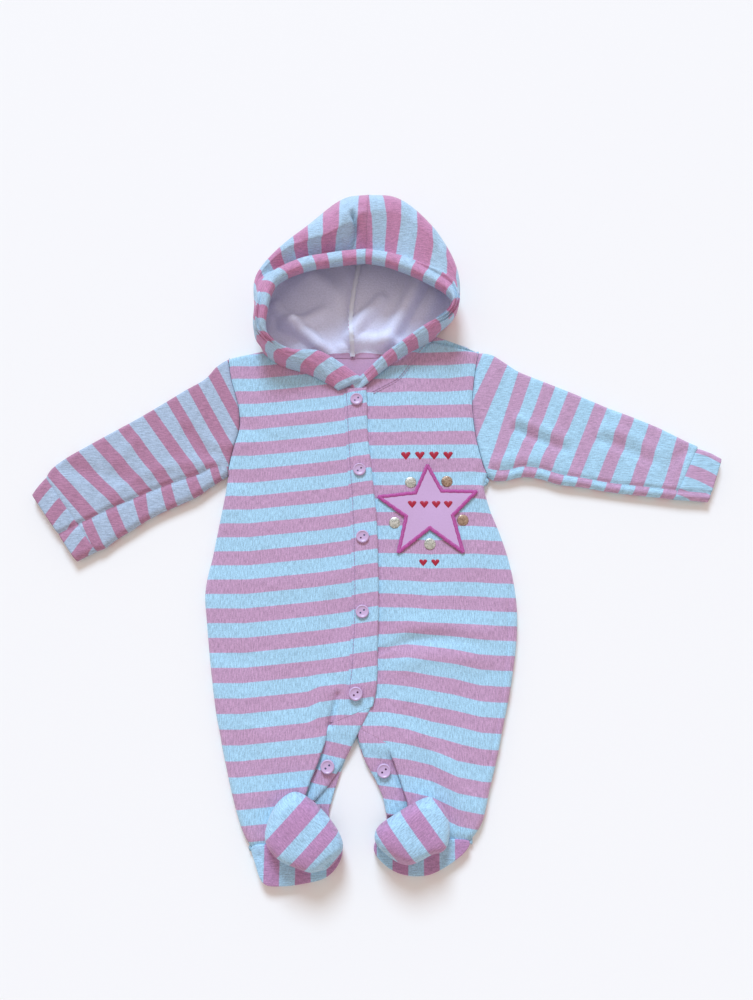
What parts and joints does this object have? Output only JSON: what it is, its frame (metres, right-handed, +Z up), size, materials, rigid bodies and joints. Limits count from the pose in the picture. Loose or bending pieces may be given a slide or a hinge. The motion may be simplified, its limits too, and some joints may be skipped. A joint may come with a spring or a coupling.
{
  "type": "hooded pramsuit",
  "caption": "Newborn's hooded, footed pramsuit in striped fleece-backed jersey, buttoned down the front and inside legs, laid on its back with the hood open.",
  "frame": {"origin": "on the ground under the middle of the laid suit's box", "axes": "+Z up out of the suit's front, +Y from the feet towards the hood, +X towards the suit's own left sleeve"},
  "size_m": [0.61, 0.6019, 0.0507],
  "materials": {
    "striped_jersey": "cotton jersey yarn-dyed in 12 mm stripes of pink and pale blue-white, with a white fleece inside",
    "star_cloth": "plain pale pink jersey with a satin-stitched magenta edge and glitter spots",
    "button_plastic": "moulded polyester, pale pink-lilac, slightly pearly"
  },
  "bodies": {
    "root": {"back": "striped_jersey", "front_right": "striped_jersey", "front_left": "striped_jersey", "sleeve_right": "striped_jersey", "sleeve_left": "striped_jersey", "cuff_right": "striped_jersey", "cuff_left": "striped_jersey", "hood_right": "striped_jersey", "hood_left": "striped_jersey", "placket_band": "striped_jersey", "leg_band_right": "striped_jersey", "leg_band_left": "striped_jersey", "foot_upper_right": "striped_jersey", "foot_upper_left": "striped_jersey", "sole_right": "striped_jersey", "sole_left": "striped_jersey", "button_1": "button_plastic", "button_2": "button_plastic", "button_3": "button_plastic", "button_4": "button_plastic", "button_5": "button_plastic", "button_leg_right": "button_plastic", "button_leg_left": "button_plastic", "star_applique": "star_cloth"}
  },
  "joints": []
}
